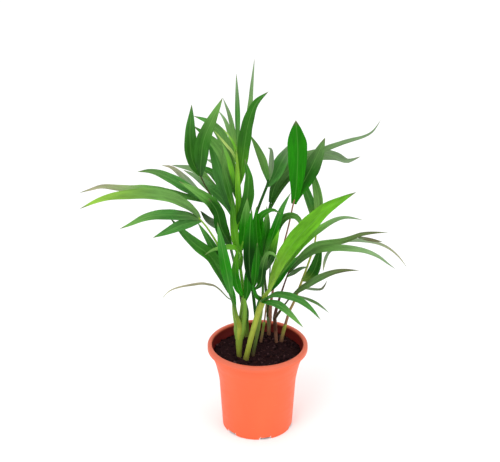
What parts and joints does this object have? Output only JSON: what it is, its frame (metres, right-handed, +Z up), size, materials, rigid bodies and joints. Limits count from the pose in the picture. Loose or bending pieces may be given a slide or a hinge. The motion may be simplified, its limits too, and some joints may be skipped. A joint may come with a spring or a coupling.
{
  "type": "potted palm",
  "caption": "Young areca palm: a clump of slender stems with feathery arching fronds, rooted in soil in a flared nursery pot.",
  "frame": {"origin": "centre of the flat underside of the pot, on the pot's axis", "axes": "+Z up along the pot's axis, -Y towards the plant's front, +X to its right as seen from the front"},
  "size_m": [0.376, 0.22, 0.452],
  "materials": {
    "pot": "satin terracotta-orange nursery plastic",
    "potting_soil": "dark crumbly peat and bark mix",
    "stem_left": "smooth fleshy stem",
    "stem_front": "smooth fleshy stem",
    "stem_brown": "smooth fleshy stem",
    "stem_back_left": "smooth fleshy stem",
    "stem_back": "smooth fleshy stem",
    "stem_small": "smooth fleshy stem",
    "stem_back_right": "smooth fleshy stem",
    "stem_red": "smooth fleshy stem",
    "stem_right": "smooth fleshy stem",
    "frond_left_low": "satin leaf with a faint waxy gloss",
    "frond_centre": "satin leaf with a faint waxy gloss",
    "frond_top": "satin leaf with a faint waxy gloss",
    "frond_left_dark": "satin leaf with a faint waxy gloss",
    "frond_left_pair": "satin leaf with a faint waxy gloss",
    "frond_left_upper": "satin leaf with a faint waxy gloss",
    "frond_left_back": "satin leaf with a faint waxy gloss",
    "frond_right_bright": "satin leaf with a faint waxy gloss",
    "frond_inner": "satin leaf with a faint waxy gloss",
    "frond_front_right": "satin leaf with a faint waxy gloss",
    "frond_cluster": "satin leaf with a faint waxy gloss",
    "frond_arched": "satin leaf with a faint waxy gloss",
    "frond_middle": "satin leaf with a faint waxy gloss",
    "frond_bifid": "satin leaf with a faint waxy gloss",
    "frond_high_right": "satin leaf with a faint waxy gloss",
    "frond_right_low": "satin leaf with a faint waxy gloss",
    "frond_right_olive": "satin leaf with a faint waxy gloss",
    "frond_right_fork": "satin leaf with a faint waxy gloss"
  },
  "bodies": {
    "root": {"pot": "pot", "potting_soil": "potting_soil", "stem_left": "stem_left", "stem_front": "stem_front", "stem_brown": "stem_brown", "stem_back_left": "stem_back_left", "stem_back": "stem_back", "stem_small": "stem_small", "stem_back_right": "stem_back_right", "stem_red": "stem_red", "stem_right": "stem_right", "frond_left_low": "frond_left_low", "frond_centre": "frond_centre", "frond_top": "frond_top", "frond_left_dark": "frond_left_dark", "frond_left_pair": "frond_left_pair", "frond_left_upper": "frond_left_upper", "frond_left_back": "frond_left_back", "frond_right_bright": "frond_right_bright", "frond_inner": "frond_inner", "frond_front_right": "frond_front_right", "frond_cluster": "frond_cluster", "frond_arched": "frond_arched", "frond_middle": "frond_middle", "frond_bifid": "frond_bifid", "frond_high_right": "frond_high_right", "frond_right_low": "frond_right_low", "frond_right_olive": "frond_right_olive", "frond_right_fork": "frond_right_fork"}
  },
  "joints": []
}
